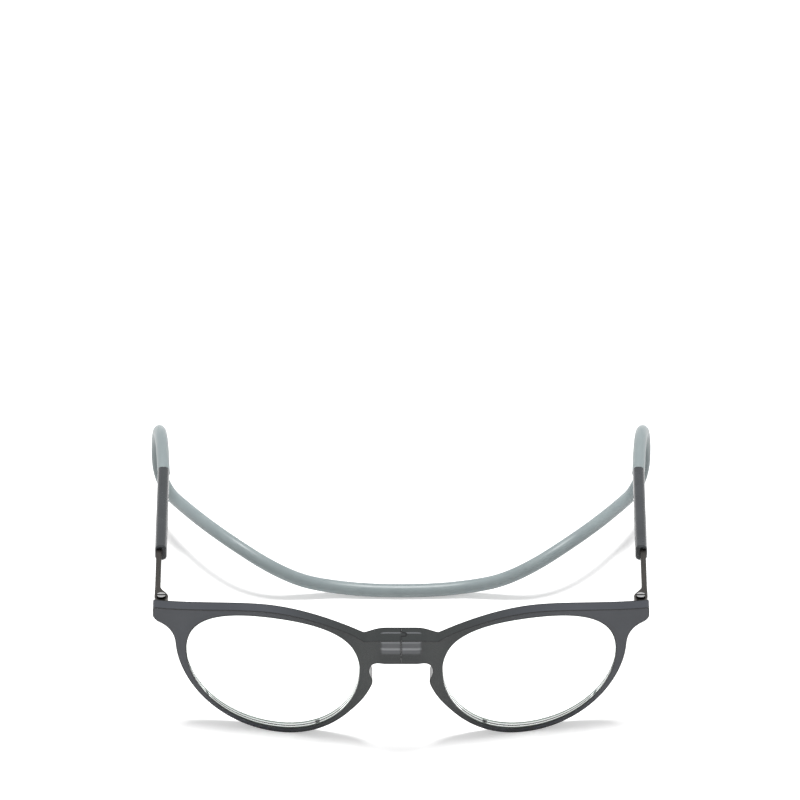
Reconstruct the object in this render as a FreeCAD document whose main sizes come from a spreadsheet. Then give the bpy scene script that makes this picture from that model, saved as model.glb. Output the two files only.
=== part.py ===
import FreeCAD, Part
import math
import os
import Sketcher

# Reading glasses that part at the bridge: two framed lenses held together by magnets,
# folding arms with sliding sleeves, and one soft band that joins the sleeves behind the neck.
# Millimetres, +Z up, -Y to the front, standing on the two rims and on the middle of the band.

Vector = FreeCAD.Vector

os.makedirs("parts", exist_ok=True)
doc = FreeCAD.newDocument("magnetic_bridge_glasses")
sheet = doc.addObject("Spreadsheet::Sheet", "sizes")

SIZES = [
    # the front as a whole
    ("front_width", 140.0),
    ("front_lean", 8.4),
    ("rim_depth", 3.3),
    ("plate_reach", 26.0),
    # the front in plan: a flat bridge, then one long gentle curve through each lens panel
    ("panel_radius", 300.0),
    ("panel_start", 15.0),
    ("panel_sag", 3.5),
    ("panel_slope", 6.5),
    ("panel_past_end", 2.0),
    ("hump_flat", 4.3),
    ("hump_leave", 3.0),
    ("hump_arrive", 4.0),
    # lens openings
    ("lens_width", 48.9),
    ("lens_height", 41.8),
    ("lens_spacing", 23.4),
    ("lens_crest_in", 24.6),
    ("lens_foot_in", 23.6),
    ("lens_nose_up", 4.6),
    ("lens_side_up", 3.8),
    ("corner_share", 0.66),
    ("round_share", 0.58),
    ("groove_depth", 0.5),
    ("groove_width", 0.9),
    ("groove_back", 1.1),
    ("lens_play", 0.05),
    ("lens_thick", 2.1),
    ("lens_back", 0.5),
    # rim widths round the opening
    ("rim_top", 2.0),
    ("rim_side", 3.1),
    ("rim_foot", 1.7),
    # bridge
    ("bridge_top", 18.2),
    ("bridge_bottom", 9.5),
    ("bridge_depth", 5.8),
    ("parting_gap", 0.04),
    ("bridge_flat", 4.3),
    ("arch_half", 5.5),
    ("magnet_length", 5.5),
    ("magnet_across", 4.7),
    ("magnet_play", 0.05),
    ("tongue_length", 1.5),
    ("tongue_width", 1.4),
    ("tongue_height", 1.4),
    ("tongue_play", 0.08),
    # share of a radius at which a cubic curve's poles make a quarter round
    ("quarter_hold", 0.5523),
    # free outline of the rim, from the bridge round to the nose side
    ("crown_hold", 3.0),
    ("dip_in", 10.5),
    ("dip_up", 16.1),
    ("dip_hold", 0.9),
    ("crest_hold", 13.5),
    ("brow_hold", 9.5),
    ("tip_up", 17.4),
    ("tip_slope", 8.0),
    ("tip_hold", 10.0),
    ("tip_round", 0.8),
    ("tip_low", 14.3),
    ("tip_under", 12.3),
    ("tip_under_in", 1.7),
    ("tip_under_slope", 17.0),
    ("tip_under_hold", 2.5),
    ("flank_up", 5.5),
    ("flank_slope", 3.0),
    ("flank_hold", 4.0),
    ("side_hold", 15.0),
    ("foot_hold", 16.4),
    ("jaw_hold", 15.4),
    ("cheek_in", 8.9),
    ("cheek_down", 1.4),
    ("cheek_slope", 19.0),
    ("cheek_hold", 8.5),
    ("nub_in", 8.0),
    ("nub_up", 2.0),
    ("nub_hold", 1.0),
    ("neck_in", 8.95),
    ("neck_up", 5.2),
    ("neck_hold", 2.3),
    # hinge
    ("hinge_inset", 2.3),
    ("hinge_behind", 7.0),
    ("eye_radius", 1.95),
    ("screw_across", 1.2),
    ("screw_play", 0.04),
    ("head_across", 2.7),
    ("head_thick", 0.5),
    ("head_slot", 0.4),
    ("head_slot_deep", 0.25),
    ("hinge_gap", 0.05),
    ("barrel_tall", 3.0),
    ("root_wide", 3.8),
    ("root_outset", 0.7),
    ("root_low", 0.75),
    ("root_tall", 3.1),
    ("root_in", 1.7),
    ("root_short", 2.4),
    ("root_play", 0.05),
    ("neck_wide", 2.9),
    ("neck_tall", 2.0),
    ("neck_lap", 0.3),
    # arms
    ("arm_above_datum", 17.54),
    ("arm_tall", 2.7),
    ("arm_thick", 1.5),
    ("arm_outset", 1.1),
    ("arm_flare", 5.0),
    ("arm_length", 54.0),
    ("stud_pitch", 4.8),
    ("stud_end_in", 2.4),
    ("stud_ball", 0.8),
    ("stud_shank", 0.45),
    ("stud_proud", 0.05),
    ("stud_play", 0.02),
    # sleeves
    ("sleeve_start", 23.7),
    ("sleeve_length", 41.5),
    ("sleeve_tall", 5.0),
    ("sleeve_thick", 3.3),
    ("sleeve_inset", 0.5),
    ("sleeve_round", 1.3),
    ("sleeve_mouth_round", 0.4),
    ("channel_play", 0.1),
    ("channel_end", 0.7),
    ("slot_tall", 2.0),
    ("slot_start", 2.9),
    ("slot_end", 0.4),
    ("notch_first", 5.7),
    ("notch_pitch", 5.0),
    ("notch_count", 4),
    ("notch_wide", 0.8),
    ("notch_tall", 3.2),
    ("notch_deep", 0.5),
    # spigots and band
    ("spigot_across", 2.2),
    ("spigot_length", 7.0),
    ("spigot_seat", 4.0),
    ("spigot_barb", 2.7),
    ("spigot_barb_long", 1.6),
    ("spigot_play", 0.03),
    ("band_across", 4.0),
]

# Sizes that follow from the ones above, each as a formula of the sheet.
FORMULAS = [
    ("half_width", "front_width / 2"),
    ("gap_half", "parting_gap / 2"),
    ("lens_nose", "lens_spacing / 2"),
    ("lens_side", "lens_nose + lens_width"),
    ("lens_top", "lens_height / 2"),
    ("lens_crest", "lens_nose + lens_crest_in"),
    ("lens_foot", "lens_nose + lens_foot_in"),
    ("panel_mid", "panel_start - panel_radius * sin(panel_slope)"),
    ("panel_centre", "panel_sag + panel_radius * cos(panel_slope)"),
    ("panel_end", "half_width + panel_past_end"),
    ("panel_end_slope", "asin((panel_end - panel_mid) / panel_radius) / 1 deg"),
    ("panel_end_sag", "panel_centre - panel_radius * cos(panel_end_slope)"),
    ("panel_hold", "4 / 3 * tan((panel_end_slope - panel_slope) / 4)"),
    ("foot_sag", "panel_centre - sqrt(panel_radius ^ 2 - (lens_foot - panel_mid) ^ 2)"),
    ("datum_up", "(lens_top + rim_foot) * cos(front_lean) - foot_sag * sin(front_lean)"),
    ("bridge_mid_up", "(bridge_top + bridge_bottom) / 2"),
    ("front_most", "bridge_top * sin(front_lean)"),
    ("hinge_out", "half_width - hinge_inset"),
    ("end_sag", "panel_centre - sqrt(panel_radius ^ 2 - (hinge_out - panel_mid) ^ 2)"),
    ("end_back", "end_sag * cos(front_lean) - tip_up * sin(front_lean)"),
    ("hinge_back", "end_back + hinge_behind"),
    ("root_front", "end_back + root_in"),
    ("root_back", "hinge_back - root_short"),
    ("rear_most", "hinge_back + sleeve_start + sleeve_length + spigot_length"),
    ("origin_back", "(rear_most - front_most) / 2"),
    ("hinge_y", "hinge_back - origin_back"),
    ("arm_up", "datum_up + arm_above_datum"),
    ("arm_bottom", "arm_up - arm_tall / 2"),
    ("bar_in", "arm_outset - arm_thick / 2"),
    ("bar_out", "arm_outset + arm_thick / 2"),
    ("sleeve_out", "arm_outset - sleeve_inset"),
    ("sleeve_face", "sleeve_out - sleeve_thick / 2"),
    ("band_out", "hinge_out + sleeve_out"),
    ("band_start", "hinge_y + sleeve_start + sleeve_length"),
]


def fill_sheet():
    """Plain numbers first, then the formulas, each cell with a word for its name."""
    for row, (name, value) in enumerate(SIZES, 1):
        sheet.set("A%d" % row, name)
        sheet.set("B%d" % row, str(value))
        sheet.setAlias("B%d" % row, name)
    doc.recompute()
    for row, (name, formula) in enumerate(FORMULAS, len(SIZES) + 1):
        sheet.set("A%d" % row, name)
        sheet.set("B%d" % row, "=" + formula)
        sheet.setAlias("B%d" % row, name)
        doc.recompute()


fill_sheet()


def size(name):
    return float(sheet.get(name))


def full(formula):
    """A formula of bare size names, written with the sheet's name before each."""
    names = [name for name, value in SIZES + FORMULAS]
    out = ""
    word = ""
    for letter in formula + " ":
        if letter.isalnum() or letter == "_":
            word += letter
            continue
        out += "sizes." + word if word in names else word
        out += letter
        word = ""
    return out.strip()


def value(formula):
    return float(sheet.evalExpression(full(formula)))


def bind(item, prop, formula):
    item.setExpression(prop, full(formula))


def origin_feature(body, role):
    return [item for item in body.Origin.OriginFeatures if item.Role == role][0]


def new_body(name):
    return doc.addObject("PartDesign::Body", name)


def new_sketch(body, role, offset="0"):
    """A sketch on one of the body's own planes, moved along its normal."""
    sketch = body.newObject("Sketcher::SketchObject", body.Name + "_sketch")
    sketch.AttachmentSupport = [(origin_feature(body, role), "")]
    sketch.MapMode = "FlatFace"
    bind(sketch, "AttachmentOffset.Base.z", offset)
    return sketch


def hold_point(sketch, geometry, place, across, up):
    """Holds one point of the sketch at two formulas."""
    for kind, formula in (("DistanceX", across), ("DistanceY", up)):
        number = sketch.addConstraint(
            Sketcher.Constraint(kind, -1, 1, geometry, place, value(formula)))
        sketch.setExpression("Constraints[%d]" % number, full(formula))


def add_curve(sketch, poles):
    """One cubic curve with its four poles held at formulas."""
    points = [Vector(value(across), value(up), 0) for across, up in poles]
    curve = Part.BSplineCurve()
    curve.buildFromPolesMultsKnots(points, [4, 4], [0, 1], False, 3)
    spline = sketch.addGeometry(curve, False)
    for number, point in enumerate(points):
        mark = sketch.addGeometry(Part.Circle(point, Vector(0, 0, 1), 1.0), True)
        sketch.addConstraint(Sketcher.Constraint(
            "InternalAlignment:Sketcher::BSplineControlPoint", mark, 3, spline, number))
        hold_point(sketch, mark, 3, *poles[number])


def add_line(sketch, start, end):
    points = [Vector(value(across), value(up), 0) for across, up in (start, end)]
    line = sketch.addGeometry(Part.LineSegment(points[0], points[1]), False)
    hold_point(sketch, line, 1, *start)
    hold_point(sketch, line, 2, *end)


def add_loop(sketch, corners):
    """A closed loop of straight lines through the corners."""
    for number, corner in enumerate(corners):
        add_line(sketch, corner, corners[(number + 1) % len(corners)])


def add_circle(sketch, across, up, radius):
    centre = Vector(value(across), value(up), 0)
    circle = sketch.addGeometry(Part.Circle(centre, Vector(0, 0, 1), value(radius)), False)
    hold_point(sketch, circle, 3, across, up)
    number = sketch.addConstraint(Sketcher.Constraint("Radius", circle, value(radius)))
    sketch.setExpression("Constraints[%d]" % number, full(radius))


def add_path(sketch, knots):
    """Curves from knot to knot. A knot is its two places, its heading in degrees and how far
    the curve holds that heading before and after it. A hold of None makes a straight line."""
    for start, end in zip(knots, knots[1:]):
        if start[4] is None or end[3] is None:
            add_line(sketch, start[:2], end[:2])
            continue
        leave = ("%s + (%s) * cos(%s)" % (start[0], start[4], start[2]),
                 "%s + (%s) * sin(%s)" % (start[1], start[4], start[2]))
        arrive = ("%s - (%s) * cos(%s)" % (end[0], end[3], end[2]),
                  "%s - (%s) * sin(%s)" % (end[1], end[3], end[2]))
        add_curve(sketch, [start[:2], leave, arrive, end[:2]])


def opening_knots(grow):
    """The lens opening's four turning points, the outline grown by a formula."""
    top, side, foot, nose = "lens_crest", "lens_side_up", "lens_foot", "lens_nose_up"
    high = "lens_top + (%s)" % grow
    low = "-lens_top - (%s)" % grow
    out = "lens_side + (%s)" % grow
    inner = "lens_nose - (%s)" % grow
    corner, rounded = "corner_share", "round_share"
    knots = [
        (top, high, "0", "%s * (%s - (%s))" % (corner, top, inner),
         "%s * (%s - %s)" % (corner, out, top)),
        (out, side, "-90", "%s * (%s - %s)" % (corner, high, side),
         "%s * (%s - (%s))" % (rounded, side, low)),
        (foot, low, "180", "%s * (%s - %s)" % (rounded, out, foot),
         "%s * (%s - (%s))" % (rounded, foot, inner)),
        (inner, nose, "90", "%s * (%s - (%s))" % (rounded, nose, low),
         "%s * (%s - %s)" % (corner, high, nose)),
    ]
    return knots + knots[:1]


def rim_knots():
    """The outside of the right half, clockwise from the top of the parting line."""
    foot_up = "-lens_top - rim_foot"
    return [
        ("gap_half", "bridge_top", "0", None, None),
        ("bridge_flat", "bridge_top", "0", None, "crown_hold"),
        ("dip_in", "dip_up", "0", "dip_hold", "dip_hold"),
        ("lens_crest", "lens_top + rim_top", "0", "crest_hold", "brow_hold"),
        ("half_width - tip_round", "tip_up", "-tip_slope", "tip_hold", "tip_round / 2"),
        ("half_width", "tip_up - tip_round", "-90", "tip_round / 2", None),
        ("half_width", "tip_low", "-90", None, "tip_round"),
        ("half_width - tip_under_in", "tip_under", "180 + tip_under_slope", "tip_round",
         "tip_under_hold"),
        ("lens_side + rim_side", "flank_up", "-90 - flank_slope", "flank_hold", "side_hold"),
        ("lens_foot", foot_up, "180", "foot_hold", "jaw_hold"),
        ("cheek_in", "-cheek_down", "90 + cheek_slope", "cheek_hold", "nub_hold"),
        ("nub_in", "nub_up", "90", "nub_hold", "nub_hold"),
        ("neck_in", "neck_up", "90", "nub_hold", "neck_hold"),
        ("arch_half", "bridge_bottom", "180", "neck_hold", None),
        ("gap_half", "bridge_bottom", "180", None, None),
        ("gap_half", "bridge_top", "90", None, None),
    ]


def pad_body(name, role, draw, length, offset="0", reverse=False):
    """A body with one padded sketch, drawn by a function."""
    body = new_body(name)
    sketch = new_sketch(body, role, offset)
    draw(sketch)
    doc.recompute()
    pad = body.newObject("PartDesign::Pad", name + "_pad")
    pad.Profile = sketch
    bind(pad, "Length", length)
    pad.Reversed = reverse
    sketch.Visibility = False
    doc.recompute()
    return body


def pocket(body, role, draw, length, offset="0", reverse=False, two_way=False):
    """Cuts a drawn sketch out of the body and checks that it took something away."""
    before = body.Shape.Volume
    sketch = new_sketch(body, role, offset)
    draw(sketch)
    doc.recompute()
    cut = body.newObject("PartDesign::Pocket", sketch.Name + "_cut")
    cut.Profile = sketch
    bind(cut, "Length", length)
    cut.Midplane = two_way
    cut.Reversed = reverse
    doc.recompute()
    if body.Shape.Volume >= before:
        raise ValueError("nothing was cut by " + cut.Name)
    return cut


def place(item, across="0", back="0", up="0"):
    bind(item, "Placement.Base.x", across)
    bind(item, "Placement.Base.y", back)
    bind(item, "Placement.Base.z", up)
    return item


def cylinder(name, radius, length, across="0", back="0", up="0", axis=None):
    """A round bar from its base point, along +Z or turned to another axis."""
    item = doc.addObject("Part::Cylinder", name)
    bind(item, "Radius", radius)
    bind(item, "Height", length)
    if axis is not None:
        item.Placement = FreeCAD.Placement(Vector(), FreeCAD.Rotation(Vector(0, 0, 1), axis))
    return place(item, across, back, up)


def box(name, long, wide, high, across="0", back="0", up="0"):
    item = doc.addObject("Part::Box", name)
    bind(item, "Length", long)
    bind(item, "Width", wide)
    bind(item, "Height", high)
    return place(item, across, back, up)


def two(kind, name, base, tool):
    item = doc.addObject(kind, name)
    item.Base = base
    item.Tool = tool
    doc.recompute()
    return item


def cut_off(name, base, tool):
    return two("Part::Cut", name, base, tool)


def join(name, base, tool):
    return two("Part::Fuse", name, base, tool)


def shared(name, base, tool):
    return two("Part::Common", name, base, tool)


def mirror(name, source):
    item = doc.addObject("Part::Mirroring", name)
    item.Source = source
    item.Base = Vector(0, 0, 0)
    item.Normal = Vector(1, 0, 0)
    doc.recompute()
    return item


def label(item, name):
    item.Label = name
    finished.append(item)
    return item


finished = []


def panel_sheet(name, front, back):
    """The curved sheet between two depths behind a lens panel's front face."""
    tall = "4 * lens_height"
    base = "-2 * lens_height"
    outer = cylinder(name + "_outer", "panel_radius - (%s)" % front, tall, "panel_mid",
                     "panel_centre", base)
    inner = cylinder(name + "_inner", "panel_radius - (%s)" % back, tall, "panel_mid",
                     "panel_centre", base)
    return cut_off(name + "_sheet", outer, inner)


def draw_plan(sketch):
    """The right half of the front seen from above: front face, end, back face, parting line."""
    back_hold = "(panel_radius - rim_depth) * panel_hold"
    add_path(sketch, [
        ("0", "0", "0", None, None),
        ("hump_flat", "0", "0", None, "hump_leave"),
        ("panel_start", "panel_sag", "panel_slope", "hump_arrive", "panel_radius * panel_hold"),
        ("panel_end", "panel_end_sag", "panel_end_slope", "panel_radius * panel_hold", None),
        ("panel_end - rim_depth * sin(panel_end_slope)",
         "panel_end_sag + rim_depth * cos(panel_end_slope)", "180 + panel_end_slope", None,
         back_hold),
        ("panel_start - rim_depth * sin(panel_slope)",
         "panel_sag + rim_depth * cos(panel_slope)", "180 + panel_slope", back_hold,
         "hump_leave"),
        ("hump_flat", "bridge_depth", "180", "hump_arrive", None),
        ("0", "bridge_depth", "180", None, None),
        ("0", "0", "0", None, None),
    ])


def lean(item):
    """Stands a piece of the front on the floor, leaning its top forward."""
    item.Placement = FreeCAD.Placement(Vector(), FreeCAD.Rotation(Vector(1, 0, 0), 1))
    bind(item, "Placement.Rotation.Angle", "front_lean")
    return place(item, "0", "-origin_back", "datum_up")


def make_half_front():
    """One half of the front: rim, end piece and half bridge, without what tells the sides apart."""
    def draw(sketch):
        add_path(sketch, rim_knots())
        add_path(sketch, opening_knots("0"))

    plate = pad_body("plate", "XZ_Plane", draw, "plate_reach", "1", True)
    plan = pad_body("plan", "XY_Plane", draw_plan, "4 * lens_height", "-2 * lens_height")
    half = shared("half_shell", plate, plan)

    def draw_groove(sketch):
        add_path(sketch, opening_knots("groove_depth"))

    groove_plate = pad_body("groove_plate", "XZ_Plane", draw_groove, "plate_reach", "1", True)
    sheet_part = panel_sheet("groove", "groove_back", "groove_back + groove_width")
    groove = shared("groove_ring", groove_plate, sheet_part)
    half = cut_off("half_grooved", half, groove)
    bore = cylinder("magnet_bore", "magnet_across / 2 + magnet_play",
                    "magnet_length + magnet_play + gap_half", "0", "bridge_depth / 2",
                    "bridge_mid_up", Vector(1, 0, 0))
    return cut_off("half_bored", half, bore)


def make_lens():
    """A clear lens with a flange that sits in the groove of the rim."""
    def draw_flange(sketch):
        add_path(sketch, opening_knots("groove_depth - lens_play"))

    def draw_face(sketch):
        add_path(sketch, opening_knots("-lens_play"))

    flange_plate = pad_body("flange_plate", "XZ_Plane", draw_flange, "plate_reach", "1", True)
    flange = shared("lens_flange", flange_plate,
                    panel_sheet("flange", "groove_back + lens_play",
                                "groove_back + groove_width - lens_play"))
    face_plate = pad_body("face_plate", "XZ_Plane", draw_face, "plate_reach", "1", True)
    face = shared("lens_face", face_plate,
                  panel_sheet("face", "lens_back", "lens_back + lens_thick"))
    return lean(join("right_lens_piece", face, flange))


def tongue_shape(name, play):
    """The rounded key on top of the bridge, grown by its clearance."""
    width = "(tongue_width + 2 * (%s))" % play
    straight = "tongue_length - tongue_width / 2"
    base_up = "bridge_top - tongue_height - (%s)" % play
    tall = "tongue_height + 2 * (%s)" % play
    block = box(name + "_block", straight + " + 2 * gap_half", width, tall, "-gap_half",
                "bridge_depth / 2 - %s / 2" % width, base_up)
    end = cylinder(name + "_end", width + " / 2", tall, straight + " + gap_half",
                   "bridge_depth / 2", base_up)
    return join(name, block, end)


def make_hinge_leaf():
    """The metal leaf: a root block let into the end piece, a neck and the lower barrel."""
    root = box("leaf_root", "root_wide", "root_back - root_front", "root_tall",
               "hinge_out + root_outset - root_wide", "root_front - origin_back",
               "arm_bottom - root_low")
    neck = box("leaf_neck", "neck_wide", "hinge_back - root_back + neck_lap", "neck_tall",
               "hinge_out - eye_radius", "root_back - neck_lap - origin_back",
               "arm_bottom - hinge_gap - neck_tall")
    barrel = cylinder("leaf_barrel", "eye_radius", "barrel_tall", "hinge_out", "hinge_y",
                      "arm_bottom - hinge_gap - barrel_tall")
    hole = cylinder("leaf_hole", "screw_across / 2 + screw_play", "2 * barrel_tall",
                    "hinge_out", "hinge_y", "arm_bottom - 1.5 * barrel_tall")
    leaf = join("leaf_solid", join("leaf_arm", root, neck), barrel)
    return cut_off("right_leaf_piece", leaf, hole)


def root_pocket():
    """The pocket in the end piece that the leaf's root sits in."""
    return box("root_pocket", "root_wide + 2 * root_play", "root_back", "root_tall + 2 * root_play",
               "hinge_out + root_outset - root_wide - root_play",
               "root_front - root_play - origin_back", "arm_bottom - root_low - root_play")


def make_screw():
    """A slotted screw that holds the arm's eye on the leaf's barrel."""
    length = "arm_tall + 2 * hinge_gap + barrel_tall"
    shank = cylinder("screw_shank", "screw_across / 2", length, "hinge_out", "hinge_y",
                     "arm_bottom - hinge_gap - barrel_tall")
    head = cylinder("screw_head", "head_across / 2", "head_thick", "hinge_out", "hinge_y",
                    "arm_bottom + arm_tall + hinge_gap")
    slot = box("screw_slot", "2 * head_across", "head_slot", "head_thick",
               "hinge_out - head_across", "hinge_y - head_slot / 2",
               "arm_bottom + arm_tall + hinge_gap + head_thick - head_slot_deep")
    return cut_off("right_screw_piece", join("screw_solid", head, shank), slot)


def make_magnet():
    magnet = cylinder("right_magnet_piece", "magnet_across / 2", "magnet_length", "gap_half",
                      "bridge_depth / 2", "bridge_mid_up", Vector(1, 0, 0))
    leaning = doc.addObject("Part::Compound", "right_magnet_leaning")
    leaning.Links = [magnet]
    return lean(leaning)


def turn_body(body, section, axis):
    """Turns a closed sketch once round one of its own axes."""
    doc.recompute()
    turned = body.newObject("PartDesign::Revolution", body.Name + "_turned")
    turned.Profile = section
    turned.ReferenceAxis = (section, [axis])
    turned.Angle = 360
    doc.recompute()


def make_arm():
    """The flat metal arm with its eye on the hinge pin, drawn in plan."""
    def draw(sketch):
        flare = [
            ("0 - eye_radius", "0", "90", None, "arm_flare / 3"),
            ("bar_in", "arm_flare", "90", "arm_flare / 3", None),
            ("bar_in", "arm_length", "90", None, None),
            ("bar_out", "arm_length", "0", None, None),
            ("bar_out", "arm_flare", "-90", None, "arm_flare / 3"),
            ("eye_radius", "0", "-90", "arm_flare / 3", "eye_radius * quarter_hold"),
            ("0", "-eye_radius", "180", "eye_radius * quarter_hold", "eye_radius * quarter_hold"),
            ("0 - eye_radius", "0", "90", "eye_radius * quarter_hold", None),
        ]
        add_path(sketch, flare)
        add_circle(sketch, "0", "0", "screw_across / 2 + screw_play")

    body = pad_body("arm_body", "XY_Plane", draw, "arm_tall")
    for number, back in enumerate(("arm_length - stud_end_in",
                                   "arm_length - stud_end_in - stud_pitch")):
        def draw_hole(sketch):
            add_circle(sketch, back, "arm_tall / 2", "stud_shank + stud_play")
        pocket(body, "YZ_Plane", draw_hole, "4 * eye_radius", two_way=True)
    return place(body, "hinge_out", "hinge_y", "arm_bottom")


def make_stud(name, back):
    """A silver ball stud on the inner side of the arm, turned about its own shank."""
    centre = "(sleeve_face - stud_proud + stud_ball)"
    bend = "stud_ball * quarter_hold"
    body = new_body(name)
    section = new_sketch(body, "XY_Plane")
    add_path(section, [
        (centre + " - stud_ball", "0", "90", None, bend),
        (centre, "stud_ball", "0", bend, bend),
        ("bar_in", "stud_shank", "-90", "stud_shank * quarter_hold", None),
        ("bar_out", "stud_shank", "0", None, None),
        ("bar_out", "0", "-90", None, None),
        (centre + " - stud_ball", "0", "180", None, None),
    ])
    turn_body(body, section, "H_Axis")
    return place(body, "hinge_out", "hinge_y + " + back, "arm_up")


def long_edges(shape):
    """Names of the straight edges of a bar along Y."""
    names = []
    for number, edge in enumerate(shape.Edges, 1):
        ends = edge.BoundBox
        if ends.YLength > ends.XLength + ends.ZLength:
            names.append("Edge%d" % number)
    return names


def make_sleeve():
    """The sliding sleeve: channel for the arm, an obround slot on the inner side with a row of
    detent notches, and a seat for the spigot at the rear end."""
    body = new_body("sleeve_body")
    section = new_sketch(body, "XZ_Plane")
    left, right = "0 - sleeve_thick / 2", "sleeve_thick / 2"
    low, high = "0 - sleeve_tall / 2", "sleeve_tall / 2"
    add_loop(section, [(left, low), (right, low), (right, high), (left, high)])
    doc.recompute()
    pad = body.newObject("PartDesign::Pad", "sleeve_pad")
    pad.Profile = section
    bind(pad, "Length", "sleeve_length")
    pad.Reversed = True
    doc.recompute()
    fillet = body.newObject("PartDesign::Fillet", "sleeve_corners")
    fillet.Base = (pad, long_edges(pad.Shape))
    bind(fillet, "Radius", "sleeve_round")
    doc.recompute()
    chamfer = body.newObject("PartDesign::Chamfer", "sleeve_ends")
    chamfer.Base = (fillet, end_faces(fillet.Shape))
    bind(chamfer, "Size", "sleeve_mouth_round")
    doc.recompute()
    reach = "arm_length - sleeve_start + channel_end"

    def draw_channel(sketch):
        left = "sleeve_inset - arm_thick / 2 - channel_play"
        right = "sleeve_inset + arm_thick / 2 + channel_play"
        high = "arm_tall / 2 + channel_play"
        low = "0 - arm_tall / 2 - channel_play"
        add_loop(sketch, [(left, low), (right, low), (right, high), (left, high)])

    pocket(body, "XZ_Plane", draw_channel, reach)

    def draw_slot(sketch):
        near = "slot_start + slot_tall / 2"
        far = "arm_length - sleeve_start - slot_end - slot_tall / 2"
        half = "slot_tall / 2"
        turn = "slot_tall / 2 * quarter_hold"
        add_path(sketch, [
            (near, half, "0", None, None),
            (far, half, "0", None, turn),
            ("%s + %s" % (far, half), "0", "-90", turn, turn),
            (far, "-" + half, "180", turn, None),
            (near, "-" + half, "180", None, turn),
            ("%s - %s" % (near, half), "0", "90", turn, turn),
            (near, half, "0", turn, None),
        ])

    pocket(body, "YZ_Plane", draw_slot, "sleeve_thick / 2 + sleeve_inset", "sleeve_inset", False)

    def draw_notch(sketch):
        near = "notch_first - notch_wide / 2"
        far = "notch_first + notch_wide / 2"
        add_loop(sketch, [(near, "-notch_tall / 2"), (far, "-notch_tall / 2"),
                          (far, "notch_tall / 2"), (near, "notch_tall / 2")])

    notch = pocket(body, "YZ_Plane", draw_notch, "notch_deep", "notch_deep - sleeve_thick / 2",
                   False)
    pattern = body.newObject("PartDesign::LinearPattern", "sleeve_notches")
    pattern.Originals = [notch]
    pattern.Direction = (origin_feature(body, "Y_Axis"), [""])
    pattern.Occurrences = int(size("notch_count"))
    bind(pattern, "Occurrences", "notch_count")
    bind(pattern, "Length", "notch_pitch * (notch_count - 1)")
    body.Tip = pattern
    doc.recompute()

    def draw_seat(sketch):
        add_circle(sketch, "0", "0", "spigot_across / 2 + spigot_play")

    pocket(body, "XZ_Plane", draw_seat, "spigot_seat", "-sleeve_length", True)
    return place(body, "hinge_out + sleeve_out", "hinge_y + sleeve_start", "arm_up")


def end_faces(shape):
    """Names of the two flat end faces of a bar along Y."""
    box_of = shape.BoundBox
    names = []
    for number, face in enumerate(shape.Faces, 1):
        middle = face.CenterOfMass.y
        if min(abs(middle - box_of.YMin), abs(middle - box_of.YMax)) < 1e-6:
            names.append("Face%d" % number)
    return names


def make_spigot():
    """The barbed pin in the sleeve's rear end that the band is pushed over."""
    body = new_body("spigot_body")
    section = new_sketch(body, "XY_Plane")
    pin = "spigot_across / 2"
    barb = "spigot_barb / 2"
    add_loop(section, [
        ("0", "-spigot_seat + spigot_play"), (pin, "-spigot_seat + spigot_play"),
        (pin, "spigot_length - spigot_barb_long"), (barb, "spigot_length - spigot_barb_long"),
        (pin, "spigot_length"), ("0", "spigot_length"),
    ])
    turn_body(body, section, "V_Axis")
    return place(body, "band_out", "band_start", "arm_up")


# The band's route on the right side, from the sleeve's end to the floor behind the bridge:
# out to the side, back from the sleeve's end and up from the floor.
BAND_POINTS = [
    (0.4, 11.2, 39.3),
    (1.2, 21.5, 38.8),
    (2.0, 30.2, 33.8),
    (2.6, 34.4, 25.6),
    (2.3, 33.2, 17.6),
    (-0.6, 27.0, 14.4),
    (-4.4, 19.6, 15.3),
    (-11.8, 7.4, 16.4),
    (-20.5, -2.2, 15.6),
    (-30.1, -6.6, 11.2),
    (-39.6, -6.1, 5.6),
    (-49.6, -4.9, 2.7),
]
BAND_MIDDLE = (-60.6, -5.6)


def band_route():
    """All the route's points from the right sleeve's end round to the left one's."""
    out = size("band_out")
    start = size("band_start")
    right = [Vector(out, start, size("arm_up"))]
    for across, back, up in BAND_POINTS:
        right.append(Vector(out + across, start + back, up))
    right.append(Vector(out + BAND_MIDDLE[0], start + BAND_MIDDLE[1], size("band_across") / 2))
    return right + [Vector(-point.x, point.y, point.z) for point in reversed(right)]


def rounded_path(points):
    """Straight runs joined by tangent arcs as large as their runs allow."""
    edges = []
    last = points[0]
    for before, corner, after in zip(points, points[1:], points[2:]):
        back = before - corner
        ahead = after - corner
        shorter = min(back.Length, ahead.Length)
        turn = math.pi - back.getAngle(ahead)
        reach = 0.45 * shorter
        radius = reach / math.tan(turn / 2)
        back.normalize()
        ahead.normalize()
        first = corner + back * reach
        final = corner + ahead * reach
        towards = (back + ahead).normalize()
        middle = corner + towards * (math.hypot(radius, reach) - radius)
        edges.append(Part.LineSegment(last, first).toShape())
        edges.append(Part.Arc(first, middle, final).toShape())
        print("band turn %5.1f degrees, radius %5.1f" % (math.degrees(turn), radius))
        last = final
    edges.append(Part.LineSegment(last, points[-1]).toShape())
    wire = Part.Wire(edges)
    print("band length %.1f" % wire.Length)
    return wire


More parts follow.
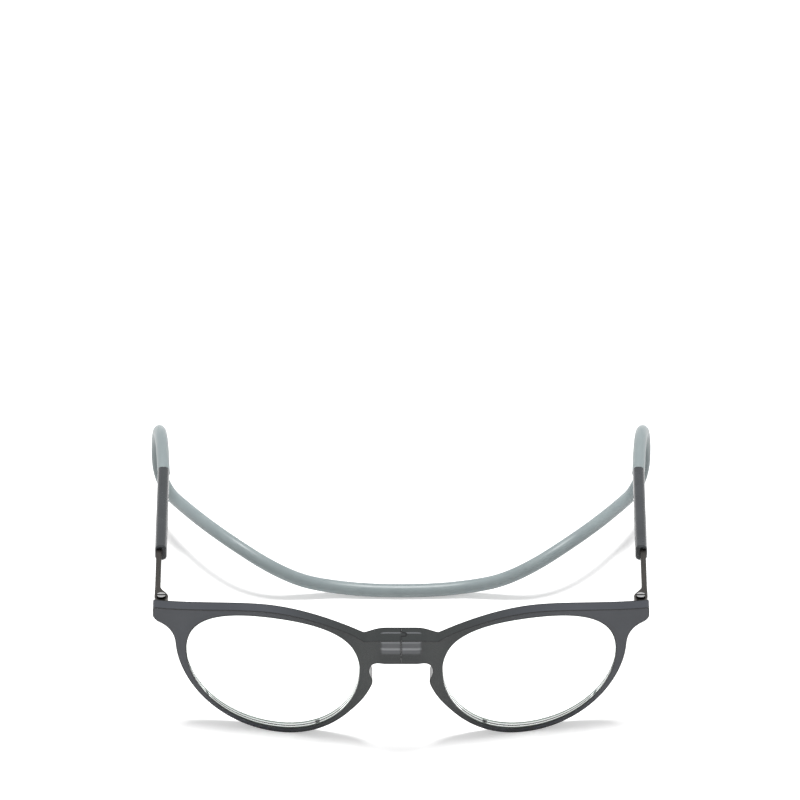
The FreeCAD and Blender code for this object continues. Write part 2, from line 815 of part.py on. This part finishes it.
def make_band():
    """The soft neck band, one round tube bored at both ends for the spigots."""
    points = band_route()
    wire = rounded_path(points)
    radius = size("band_across") / 2
    heading = points[1] - points[0]
    ring = Part.Wire([Part.Circle(points[0], heading, radius).toShape()])
    tube = wire.makePipeShell([ring], True, False)
    share = tube.Volume / (math.pi * radius ** 2 * wire.Length)
    print("band volume against section times length %.4f" % share)
    if abs(share - 1) > 0.01:
        raise ValueError("the band's tube is not whole")
    back = Vector(0, 1, 0)
    for side in (1, -1):
        start = Vector(side * points[0].x, points[0].y, points[0].z)
        bore = Part.makeCylinder(size("spigot_barb") / 2 + size("spigot_play"),
                                 size("spigot_length") + size("spigot_play"),
                                 start - back * size("spigot_play"), back)
        tube = tube.cut(bore)
        square = Part.makeBox(4 * radius, 2 * radius, 4 * radius,
                              start - Vector(2 * radius, 2 * radius, 2 * radius))
        tube = tube.cut(square)
    band = doc.addObject("Part::Feature", "band")
    band.Shape = tube
    return band


half = make_half_front()
pocket_box = root_pocket()
notched = cut_off("right_notched", half, tongue_shape("notch", "tongue_play"))
label(cut_off("right_front_piece", lean(notched), pocket_box), "right_front_frame")
tongued = join("left_tongued", mirror("left_half", half), tongue_shape("tongue", "0"))
label(cut_off("left_front_piece", lean(tongued), mirror("left_pocket", pocket_box)),
      "left_front_frame")

PAIRS = [
    ("lens", make_lens()),
    ("magnet", make_magnet()),
    ("hinge_leaf", make_hinge_leaf()),
    ("hinge_screw", make_screw()),
    ("arm", make_arm()),
    ("stud_rear", make_stud("stud_rear_piece", "arm_length - stud_end_in")),
    ("stud_front", make_stud("stud_front_piece", "arm_length - stud_end_in - stud_pitch")),
    ("sleeve", make_sleeve()),
    ("spigot", make_spigot()),
]
for name, piece in PAIRS:
    label(piece, "right_" + name)
    label(mirror("left_%s_piece" % name, piece), "left_" + name)
label(make_band(), "neck_band")

doc.recompute()
for item in doc.Objects:
    if "Invalid" in item.State or "Error" in item.State:
        raise ValueError("failed: %s %s" % (item.Name, item.State))
for item in finished:
    if item.Shape.isNull() or not item.Shape.isValid() or item.Shape.Volume <= 0:
        raise ValueError("bad shape: " + item.Label)
    if len(item.Shape.Solids) != 1:
        raise ValueError("not one solid: %s has %d" % (item.Label, len(item.Shape.Solids)))
    item.Shape.exportStep("parts/%s.step" % item.Label)
    bounds = item.Shape.BoundBox
    print("%-18s volume %9.2f  x %7.2f %7.2f  y %7.2f %7.2f  z %7.2f %7.2f" % (
        item.Label, item.Shape.Volume, bounds.XMin, bounds.XMax, bounds.YMin, bounds.YMax,
        bounds.ZMin, bounds.ZMax))
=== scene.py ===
import bisect
import math

import bpy
from mathutils import Matrix, Vector


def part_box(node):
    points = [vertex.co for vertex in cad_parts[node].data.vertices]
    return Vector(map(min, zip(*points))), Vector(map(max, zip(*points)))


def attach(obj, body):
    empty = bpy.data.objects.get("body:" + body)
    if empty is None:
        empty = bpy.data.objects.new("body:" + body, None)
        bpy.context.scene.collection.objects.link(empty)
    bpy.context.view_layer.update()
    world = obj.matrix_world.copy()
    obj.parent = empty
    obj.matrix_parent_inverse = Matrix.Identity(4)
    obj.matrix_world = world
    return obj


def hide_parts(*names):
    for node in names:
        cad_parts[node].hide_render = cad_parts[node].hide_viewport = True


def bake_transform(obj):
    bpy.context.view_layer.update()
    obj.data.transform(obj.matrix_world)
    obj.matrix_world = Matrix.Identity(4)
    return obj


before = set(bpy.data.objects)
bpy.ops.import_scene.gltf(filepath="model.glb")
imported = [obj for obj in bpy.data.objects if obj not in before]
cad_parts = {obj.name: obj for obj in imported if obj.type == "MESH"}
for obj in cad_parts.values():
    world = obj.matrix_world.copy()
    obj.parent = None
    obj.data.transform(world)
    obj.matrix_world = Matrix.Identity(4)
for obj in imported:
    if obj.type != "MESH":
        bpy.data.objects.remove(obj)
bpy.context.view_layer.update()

# Reading glasses that part at the bridge, seen from the front and above.
# Metres, +Z up, -Y to the front. The wearer's right is at +X.

MM = 0.001
SIDES = ("right", "left")


# Camera

EYE_HEIGHT = math.radians(33.0)
EYE_DISTANCE = 3.0
LENS_LENGTH = 477.0
SENSOR_WIDTH = 36.0
CLIP_NEAR = 0.1
CLIP_FAR = 20.0
AIM_ACROSS = -0.3 * MM
AIM_BEHIND_FRONT = 3.31 * MM
AIM_UP = 99.03 * MM


def turned_along(item, direction):
    """Turns a camera or a lamp so that it looks along a direction."""
    item.rotation_mode = "QUATERNION"
    item.rotation_quaternion = direction.to_track_quat("-Z", "Y")


def make_camera():
    """A long lens in front and above. The object stands low in the picture."""
    back = Vector((0, -math.cos(EYE_HEIGHT), math.sin(EYE_HEIGHT)))
    up = Vector((0, math.sin(EYE_HEIGHT), math.cos(EYE_HEIGHT)))
    front_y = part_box("right_front_frame")[0].y
    foot = Vector((AIM_ACROSS, front_y + AIM_BEHIND_FRONT, 0))
    data = bpy.data.cameras.new("camera")
    data.sensor_width = SENSOR_WIDTH
    data.lens = LENS_LENGTH
    data.clip_start = CLIP_NEAR
    data.clip_end = CLIP_FAR
    camera = bpy.data.objects.new("camera", data)
    camera.location = foot + up * AIM_UP + back * EYE_DISTANCE
    turned_along(camera, -back)
    bpy.context.collection.objects.link(camera)
    bpy.context.scene.camera = camera


# Neck band: the route of the right half, from the sleeve's end to the floor behind the bridge.
# The left half mirrors it.

RIGHT_ROUTE = [
    (0.0683, 0.03976, 0.03895),
    (0.0687, 0.05096, 0.03930),
    (0.0695, 0.06126, 0.03880),
    (0.0703, 0.06996, 0.03380),
    (0.0709, 0.07416, 0.02560),
    (0.0706, 0.07296, 0.01760),
    (0.0677, 0.06676, 0.01440),
    (0.0639, 0.05936, 0.01530),
    (0.0565, 0.04716, 0.01640),
    (0.0478, 0.03756, 0.01560),
    (0.0382, 0.03316, 0.01120),
    (0.0287, 0.03366, 0.00560),
    (0.0187, 0.03486, 0.00270),
    (0.0077, 0.03416, 0.00200),
]
ROUTE_FINENESS = 24
BAND_TALL = 4.0 * MM
BAND_THIN = 3.7 * MM
BAND_SIDES = 40
BAND_STEP = 1.0 * MM
CURVE_ORDER = 3

# Lengths along the band from a sleeve to the end of its loop and to the end of its return.
LOOP_END = 56 * MM
RETURN_END = 104 * MM


def spline_points(route):
    """Points read from a smooth curve over the route."""
    data = bpy.data.curves.new("band_line", "CURVE")
    data.dimensions = "3D"
    line = data.splines.new("NURBS")
    line.points.add(len(route) - 1)
    for point, place in zip(line.points, route):
        point.co = (*place, 1)
    line.order_u = CURVE_ORDER
    line.use_endpoint_u = True
    line.resolution_u = ROUTE_FINENESS
    helper = bpy.data.objects.new("band_line", data)
    bpy.context.collection.objects.link(helper)
    mesh = bpy.data.meshes.new_from_object(helper)
    points = [vertex.co.copy() for vertex in mesh.vertices]
    bpy.data.objects.remove(helper)
    bpy.data.meshes.remove(mesh)
    return points


def evenly(points, step):
    """The same line with its points an even step apart."""
    reached = [0.0]
    for first, second in zip(points, points[1:]):
        reached.append(reached[-1] + (second - first).length)
    count = round(reached[-1] / step)
    even = []
    for number in range(count + 1):
        target = reached[-1] * number / count
        spot = min(max(bisect.bisect_right(reached, target), 1), len(points) - 1)
        share = (target - reached[spot - 1]) / (reached[spot] - reached[spot - 1])
        even.append(points[spot - 1].lerp(points[spot], share))
    return even


def headings(points):
    """The line's direction at each point."""
    last = len(points) - 1
    return [(points[min(number + 1, last)] - points[max(number - 1, 0)]).normalized()
            for number in range(len(points))]


def thin_directions(ways):
    """The oval's short axis along the first half: carried along the line, then turned evenly so
    that it is level in the middle."""
    short = Vector((1, 0, 0))
    carried = []
    before = ways[0]
    for way in ways:
        short = before.rotation_difference(way) @ short
        short = (short - way * short.dot(way)).normalized()
        carried.append(short.copy())
        before = way
    level = Vector((0, 1, 0))
    end = carried[-1]
    if end.dot(level) < 0:
        level = -level
    turn = math.atan2(end.cross(level).dot(ways[-1]), end.dot(level))
    last = len(ways) - 1
    return [Matrix.Rotation(turn * number / last, 3, way) @ short
            for number, (way, short) in enumerate(zip(ways, carried))]


def mirrored(place):
    """The same place or direction on the other side."""
    return Vector((-place.x, place.y, place.z))


def band_rings():
    """Centre, short axis and long axis of each ring from the right sleeve to the left one."""
    route = [Vector(place) for place in RIGHT_ROUTE]
    route += [mirrored(place) for place in reversed(route)]
    line = spline_points(route)
    right_line = [point for point in line if point.x > 0]
    middle = line[len(line) // 2]
    half = evenly(right_line + [Vector((0, middle.y, middle.z))], BAND_STEP)
    ways = headings(half)
    ways[-1] = Vector((-1, 0, 0))
    rings = [(centre, short, way.cross(short))
             for centre, way, short in zip(half, ways, thin_directions(ways))]
    return rings + [[mirrored(part) for part in ring] for ring in reversed(rings[:-1])]


def band_tube(name, rings, closed_rings):
    """An oval tube through the rings, with a flat end face on each closed ring."""
    verts = []
    faces = []
    for centre, short, tall in rings:
        for number in range(BAND_SIDES):
            angle = 2 * math.pi * number / BAND_SIDES
            verts.append(centre + short * (math.cos(angle) * BAND_THIN / 2)
                         + tall * (math.sin(angle) * BAND_TALL / 2))
    for ring in range(len(rings) - 1):
        for number in range(BAND_SIDES):
            after = (number + 1) % BAND_SIDES
            low = ring * BAND_SIDES
            high = low + BAND_SIDES
            faces.append((low + number, low + after, high + after, high + number))
    for ring in closed_rings:
        faces.append([ring * BAND_SIDES + number for number in range(BAND_SIDES)])
    mesh = bpy.data.meshes.new(name)
    mesh.from_pydata(verts, [], faces)
    mesh.validate()
    for face in mesh.polygons:
        face.use_smooth = len(face.vertices) == 4
    mesh.update()
    tube = bpy.data.objects.new(name, mesh)
    bpy.context.collection.objects.link(tube)
    return tube


def make_band():
    """Five stretches of one band, each across one joint. The band leaves from both sleeves."""
    rings = band_rings()
    centres = [ring[0] for ring in rings]
    last = len(rings) - 1
    step = (centres[1] - centres[0]).length
    loop = round(LOOP_END / step)
    back = round(RETURN_END / step)
    stretches = [
        ("band_right_loop", 0, loop, "right_sleeve", "right_arm"),
        ("band_right_return", loop, back, "right_arm", "right_front"),
        ("band_middle", back, last - back, "right_front", "left_front"),
        ("band_left_return", last - back, last - loop, "left_front", "left_arm"),
        ("band_left_loop", last - loop, last, "left_arm", "left_sleeve"),
    ]
    material = mottled("band_silicone", cell=9 * MM, detail=3,
                       dark=(118, 127, 129), light=(126, 135, 136), rough=(0.36, 0.46),
                       IOR=SILICONE_IOR, Subsurface_Weight=0.35, Subsurface_Scale=1.5 * MM,
                       Subsurface_Radius=(1.0, 1.1, 1.1))
    for name, first, final, body, other in stretches:
        closed = [number - first for number in (first, final) if number in (0, last)]
        piece = band_tube(name, rings[first:final + 1], closed)
        piece.data.materials.append(material)
        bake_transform(piece)
        if name == "band_right_loop":
            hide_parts("neck_band")


# Materials. Tones are as seen on a screen, 0 to 255. Shares are node outputs from 0 to 1.

ACRYLIC_IOR = 1.49
GLASS_IOR = 1.5
SILICONE_IOR = 1.41
NOISE_LOW = 0.3
NOISE_HIGH = 0.7
BUMP_STRENGTH = 0.4
MIX_SHARE, MIX_FIRST, MIX_SECOND, MIX_RESULT = 0, 6, 7, 2
UPRIGHT_NORMAL = 0.35
LEVEL_NORMAL = 0.65
EDGE_SAMPLES = 8
EDGE_STARTS = 0.99
EDGE_FULL = 0.9


def shader_colour(tone):
    """A screen tone as linear light, by the sRGB curve."""
    parts = []
    for part in tone:
        share = part / 255
        parts.append(share / 12.92 if share <= 0.04045 else ((share + 0.055) / 1.055) ** 2.4)
    return (*parts, 1)


def math_of(tree, operation, *values):
    """The result of a calculation with numbers and node outputs."""
    node = tree.nodes.new("ShaderNodeMath")
    node.operation = operation
    for socket, value in zip(node.inputs, values):
        if isinstance(value, bpy.types.NodeSocket):
            tree.links.new(value, socket)
        else:
            socket.default_value = value
    return node.outputs["Value"]


def ranged(tree, value, low, high, start=0.0, end=1.0, shape="LINEAR"):
    """Goes from start to end as the value goes from low to high, and stays there beyond."""
    node = tree.nodes.new("ShaderNodeMapRange")
    node.interpolation_type = shape
    node.inputs["From Min"].default_value = low
    node.inputs["From Max"].default_value = high
    node.inputs["To Min"].default_value = start
    node.inputs["To Max"].default_value = end
    tree.links.new(value, node.inputs["Value"])
    return node.outputs["Result"]


def place_parts(tree):
    """X, Y and Z in the object's own space."""
    place = tree.nodes.new("ShaderNodeTexCoord")
    parts = tree.nodes.new("ShaderNodeSeparateXYZ")
    tree.links.new(place.outputs["Object"], parts.inputs["Vector"])
    return parts.outputs["X"], parts.outputs["Y"], parts.outputs["Z"]


def noise_of(tree, cell, detail, stretch):
    """Noise in the object's own space, in cells of about one size."""
    place = tree.nodes.new("ShaderNodeTexCoord")
    mapping = tree.nodes.new("ShaderNodeMapping")
    mapping.inputs["Scale"].default_value = [part / cell for part in stretch]
    noise = tree.nodes.new("ShaderNodeTexNoise")
    noise.inputs["Scale"].default_value = 1
    noise.inputs["Detail"].default_value = detail
    tree.links.new(place.outputs["Object"], mapping.inputs["Vector"])
    tree.links.new(mapping.outputs["Vector"], noise.inputs["Vector"])
    return noise.outputs["Fac"]


def mottled(name, cell, detail, dark, light, rough, stretch=(1, 1, 1), bump=None, **sockets):
    """A material whose tone and roughness drift with noise. The other sockets are the same all
    over."""
    material = bpy.data.materials.new(name)
    material.use_nodes = True
    tree = material.node_tree
    shader = tree.nodes["Principled BSDF"]
    for socket, value in sockets.items():
        shader.inputs[socket.replace("_", " ")].default_value = value
    noise = noise_of(tree, cell, detail, stretch)
    ramp = tree.nodes.new("ShaderNodeValToRGB")
    stops = ramp.color_ramp.elements
    stops[0].position = NOISE_LOW
    stops[1].position = NOISE_HIGH
    stops[0].color = shader_colour(dark)
    stops[1].color = shader_colour(light)
    tree.links.new(noise, ramp.inputs["Fac"])
    tree.links.new(ramp.outputs["Color"], shader.inputs["Base Color"])
    roughness = ranged(tree, noise, NOISE_LOW, NOISE_HIGH, *rough)
    tree.links.new(roughness, shader.inputs["Roughness"])
    if bump:
        relief = tree.nodes.new("ShaderNodeBump")
        relief.inputs["Strength"].default_value = BUMP_STRENGTH
        relief.inputs["Distance"].default_value = bump
        tree.links.new(noise, relief.inputs["Height"])
        tree.links.new(relief.outputs["Normal"], shader.inputs["Normal"])
    return material


def lay_over(material, layers):
    """Mixes the base colour towards each layer's tone where the layer's share is high."""
    tree = material.node_tree
    base = tree.nodes["Principled BSDF"].inputs["Base Color"]
    colour = base.links[0].from_socket
    for share, tone in layers:
        mix = tree.nodes.new("ShaderNodeMix")
        mix.data_type = "RGBA"
        tree.links.new(share, mix.inputs[MIX_SHARE])
        tree.links.new(colour, mix.inputs[MIX_FIRST])
        mix.inputs[MIX_SECOND].default_value = shader_colour(tone)
        colour = mix.outputs[MIX_RESULT]
    tree.links.new(colour, base)


def inside(tree, value, centre, half, soft):
    """1 where a value is within half a width of its centre, fading over a soft edge."""
    away = math_of(tree, "ABSOLUTE", math_of(tree, "SUBTRACT", value, centre))
    return ranged(tree, away, half - soft, half + soft, 1.0, 0.0, "SMOOTHSTEP")


def both_of(tree, first, second):
    """1 where both shares are 1."""
    return math_of(tree, "MULTIPLY", first, second)


def rest_of(tree, share):
    """1 where the share is 0."""
    return math_of(tree, "SUBTRACT", 1.0, share)


def facing_up(tree):
    """1 on surfaces that face up and 0 on upright ones."""
    true = tree.nodes.new("ShaderNodeNewGeometry")
    parts = tree.nodes.new("ShaderNodeSeparateXYZ")
    tree.links.new(true.outputs["Normal"], parts.inputs["Vector"])
    return ranged(tree, parts.outputs["Z"], UPRIGHT_NORMAL, LEVEL_NORMAL)


def on_edges(tree, width):
    """1 on sharp edges and 0 elsewhere, by how far a rounded normal leaves the true one."""
    rounded = tree.nodes.new("ShaderNodeBevel")
    rounded.samples = EDGE_SAMPLES
    rounded.inputs["Radius"].default_value = width
    true = tree.nodes.new("ShaderNodeNewGeometry")
    along = tree.nodes.new("ShaderNodeVectorMath")
    along.operation = "DOT_PRODUCT"
    tree.links.new(rounded.outputs["Normal"], along.inputs[0])
    tree.links.new(true.outputs["Normal"], along.inputs[1])
    return ranged(tree, along.outputs["Value"], EDGE_STARTS, EDGE_FULL)


# Fronts and sleeves: painted shade in dark lines along the sharp edges of both. The fronts are
# darker near the middle, and the upward faces of their feet have a painted glow of light through
# the plastic.

EDGE_WIDTH = 0.8 * MM
MIDDLE_HALF = 28 * MM
MIDDLE_SOFT = 16 * MM
FOOT_HALF = 20 * MM
FOOT_SOFT = 8 * MM

# Where a magnet sits, the plastic has painted light: a lighter block for the magnet seen through
# it, two painted glints in front and a painted reflection strip on top.

MAGNET_LIFT = 2.2 * MM
MAGNET_SOFT = 0.5 * MM
BLOCK_HALF = 3.1 * MM
GLINT_RISE = 1.3 * MM
GLINT_HALF = 0.4 * MM
GLINT_SOFT = 0.25 * MM
STRIP_HALF = 0.2 * MM


def smoked_plastic(side):
    """Clear grey moulded plastic of one front, with painted light where its magnet shows through
    and on the upward faces of its feet, and painted shade along its edges.
    """
    material = mottled(f"smoked_plastic_{side}", cell=14 * MM, detail=2,
                       dark=(56, 59, 65), light=(62, 65, 71), rough=(0.2, 0.26),
                       Transmission_Weight=0.2, IOR=ACRYLIC_IOR, Specular_IOR_Level=0.3)
    tree = material.node_tree
    low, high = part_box(f"{side}_magnet")
    middle = (low + high) / 2
    rise = middle.z + MAGNET_LIFT
    x, y, z = place_parts(tree)
    up = facing_up(tree)
    across = inside(tree, x, middle.x, (high.x - low.x) / 2, MAGNET_SOFT)
    shown = both_of(tree, across, rest_of(tree, up))
    # Painted light: the upward faces of the feet are lighter, a painted glow of light through the
    # plastic.
    foot = both_of(tree, inside(tree, z, 0, FOOT_HALF, FOOT_SOFT), up)
    # Painted light: a lighter block where the magnet shows through, and two painted glints in
    # front.
    painted_magnet_block = both_of(tree, shown, inside(tree, z, rise, BLOCK_HALF, MAGNET_SOFT))
    upper_glint, lower_glint = [
        both_of(tree, shown, inside(tree, z, height, GLINT_HALF, GLINT_SOFT))
        for height in (rise + GLINT_RISE, rise - GLINT_RISE)]
    # Painted reflection: a lighter strip on the top face over the magnet.
    top_reflection_strip = both_of(tree, both_of(tree, across, up),
                    inside(tree, y, middle.y, STRIP_HALF, GLINT_SOFT))
    lay_over(material, [
        (inside(tree, x, 0, MIDDLE_HALF, MIDDLE_SOFT), (38, 42, 42)),
        (foot, (118, 128, 122)),
        (painted_magnet_block, (88, 90, 93)),
        (upper_glint, (126, 128, 131)),
        (lower_glint, (138, 140, 143)),
        (top_reflection_strip, (104, 106, 110)),
        # Painted shade: dark lines along the sharp edges.
        (on_edges(tree, EDGE_WIDTH), (12, 13, 15)),
    ])
    return material


def sleeve_plastic():
    """Dark grey plastic of the sliding sleeves, with painted shade along its sharp edges."""
    material = mottled("sleeve_plastic", cell=8 * MM, detail=3,
                       dark=(46, 49, 52), light=(54, 57, 60), rough=(0.22, 0.3),
                       Transmission_Weight=0.1, IOR=ACRYLIC_IOR, Specular_IOR_Level=0.3)
    # Painted shade: dark lines along the sharp edges.
    lay_over(material, [(on_edges(material.node_tree, EDGE_WIDTH), (16, 18, 20))])
    return material


# Screws: the head is bright down to this depth, with painted shade on its rim and in its slot.

HEAD_FACE = 0.12 * MM
HEAD_SOFT = 0.04 * MM
HEAD_EDGE = 0.35 * MM


def screw_steel(side):
    """Bright screw head with painted shade on its rim and in its slot."""
    material = mottled(f"screw_steel_{side}", cell=0.6 * MM, detail=3,
                       dark=(176, 176, 176), light=(198, 198, 198), rough=(0.14, 0.22),
                       Metallic=1.0)
    tree = material.node_tree
    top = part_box(f"{side}_hinge_screw")[1].z
    z = place_parts(tree)[2]
    lay_over(material, [
        # Painted shade: dark below the head's face, in the slot, and along the rim's edge.
        (rest_of(tree, inside(tree, z, top, HEAD_FACE, HEAD_SOFT)), (12, 12, 12)),
        (on_edges(tree, HEAD_EDGE), (26, 26, 26)),
    ])
    return material


def brushed_metal(name, dark, light, rough, stretch=(6, 0.3, 6)):
    """Metal with fine marks along its length."""
    return mottled(name, cell=0.9 * MM, detail=5, dark=dark, light=light, rough=rough,
                   stretch=stretch, bump=0.006 * MM, Metallic=1.0)


def polished_metal(name):
    """Bright metal with fine marks all ways."""
    return brushed_metal(name, (214, 214, 214), (232, 232, 232), (0.1, 0.2), (1, 1, 1))


def dress_one(node, material):
    """Gives one hard node its material."""
    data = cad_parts[node].data
    data.materials.clear()
    data.materials.append(material)


def dress_all():
    """Gives the hard nodes of both sides their materials."""
    shared = {
        "lens": mottled("lens_glass", cell=30 * MM, detail=1,
                        dark=(248, 253, 250), light=(252, 255, 253), rough=(0.0, 0.004),
                        Transmission_Weight=1.0, IOR=GLASS_IOR),
        "magnet": mottled("magnet_nickel", cell=0.5 * MM, detail=4,
                          dark=(196, 198, 200), light=(222, 224, 226), rough=(0.2, 0.34),
                          stretch=(0.2, 1, 1), bump=0.01 * MM, Metallic=1.0),
        "hinge_leaf": brushed_metal("leaf_steel", (40, 39, 38), (52, 51, 50), (0.26, 0.36)),
        "arm": brushed_metal("arm_gunmetal", (62, 60, 58), (78, 75, 72), (0.26, 0.36)),
        "stud_rear": polished_metal("stud_silver"),
        "stud_front": polished_metal("stud_silver_front"),
        "sleeve": sleeve_plastic(),
        "spigot": mottled("spigot_plastic", cell=3 * MM, detail=3,
                          dark=(120, 126, 130), light=(134, 140, 144), rough=(0.35, 0.45),
                          bump=0.01 * MM, IOR=ACRYLIC_IOR),
    }
    for side in SIDES:
        for name, material in shared.items():
            dress_one(f"{side}_{name}", material)
        dress_one(f"{side}_front_frame", smoked_plastic(side))
        dress_one(f"{side}_hinge_screw", screw_steel(side))


# Painted shade in the closed joint of the bridge

SHADE_SHEET_THICK = 0.034 * MM
SHADE_SHEET_REACH = 0.03 * MM


def make_joint_shade_sheet():
    """A thin dark sheet on the right half's end face that fills the closed joint in the bridge
    with painted shade.
    """
    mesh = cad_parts["right_front_frame"].data
    faces = [face.vertices[:] for face in mesh.polygons
             if all(abs(mesh.vertices[spot].co.x) < SHADE_SHEET_REACH for spot in face.vertices)]
    used = sorted({spot for face in faces for spot in face})
    number = {spot: count for count, spot in enumerate(used)}
    verts = [(0, mesh.vertices[spot].co.y, mesh.vertices[spot].co.z) for spot in used]
    shade_sheet_mesh = bpy.data.meshes.new("joint_shade_sheet")
    shade_sheet_mesh.from_pydata(verts, [], [[number[spot] for spot in face] for face in faces])
    shade_sheet = bpy.data.objects.new("joint_shade_sheet", shade_sheet_mesh)
    bpy.context.collection.objects.link(shade_sheet)
    thicken = shade_sheet.modifiers.new("thickness", "SOLIDIFY")
    thicken.thickness = SHADE_SHEET_THICK
    thicken.offset = 0
    # Painted shade: the dark sheet stands in for the shade in the joint.
    shade_sheet_mesh.materials.append(mottled("joint_shade_dark", cell=2 * MM, detail=2,
                                       dark=(14, 15, 16), light=(20, 21, 22),
                                       rough=(0.5, 0.6), Specular_IOR_Level=0.2))
    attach(shade_sheet, "right_front")


# Floor and light

FLOOR_HALF = 3.0
FLOOR_TONE = 0.78
FLOOR_GLOW = 0.42
SKY_LEVEL = 0.4
KEY_HEIGHT = 0.9
KEY_ANGLE = math.radians(17.0)
KEY_STRENGTH = 4.4


def seen_rays(tree):
    """1 for rays that show a surface: straight, mirrored or through something clear."""
    path = tree.nodes.new("ShaderNodeLightPath")
    direct = math_of(tree, "MAXIMUM", path.outputs["Is Camera Ray"],
                     path.outputs["Is Glossy Ray"])
    return math_of(tree, "MAXIMUM", direct, path.outputs["Is Transmission Ray"])


def make_floor():
    """A wide white floor at the object's foot that keeps its shadows."""
    mesh = bpy.data.meshes.new("floor")
    corners = [(-FLOOR_HALF, -FLOOR_HALF, 0), (FLOOR_HALF, -FLOOR_HALF, 0),
               (FLOOR_HALF, FLOOR_HALF, 0), (-FLOOR_HALF, FLOOR_HALF, 0)]
    mesh.from_pydata(corners, [], [(0, 1, 2, 3)])
    floor = bpy.data.objects.new("floor", mesh)
    bpy.context.collection.objects.link(floor)
    material = bpy.data.materials.new("floor_white")
    material.use_nodes = True
    tree = material.node_tree
    tree.nodes.clear()
    diffuse = tree.nodes.new("ShaderNodeBsdfDiffuse")
    diffuse.inputs["Color"].default_value = (FLOOR_TONE, FLOOR_TONE, FLOOR_TONE, 1)
    glow = tree.nodes.new("ShaderNodeEmission")
    level = math_of(tree, "MULTIPLY", seen_rays(tree), FLOOR_GLOW)
    tree.links.new(level, glow.inputs["Strength"])
    both = tree.nodes.new("ShaderNodeAddShader")
    tree.links.new(diffuse.outputs["BSDF"], both.inputs[0])
    tree.links.new(glow.outputs["Emission"], both.inputs[1])
    out = tree.nodes.new("ShaderNodeOutputMaterial")
    tree.links.new(both.outputs["Shader"], out.inputs["Surface"])
    mesh.materials.append(material)


def make_sky():
    """An even pale sky, white where it is seen."""
    world = bpy.data.worlds.new("sky")
    world.use_nodes = True
    tree = world.node_tree
    shade = tree.nodes["Background"]
    shade.inputs["Color"].default_value = (1, 1, 1, 1)
    level = ranged(tree, seen_rays(tree), 0.0, 1.0, SKY_LEVEL, 1.0)
    tree.links.new(level, shade.inputs["Strength"])
    bpy.context.scene.world = world


def make_key():
    """One wide far lamp straight above."""
    data = bpy.data.lights.new("key", "SUN")
    data.angle = KEY_ANGLE
    data.energy = KEY_STRENGTH
    lamp = bpy.data.objects.new("key", data)
    lamp.location = (0, 0, KEY_HEIGHT)
    turned_along(lamp, Vector((0, 0, -1)))
    bpy.context.collection.objects.link(lamp)


make_camera()
make_band()
dress_all()
make_joint_shade_sheet()
make_floor()
make_sky()
make_key()
bpy.context.scene.view_settings.view_transform = "Standard"
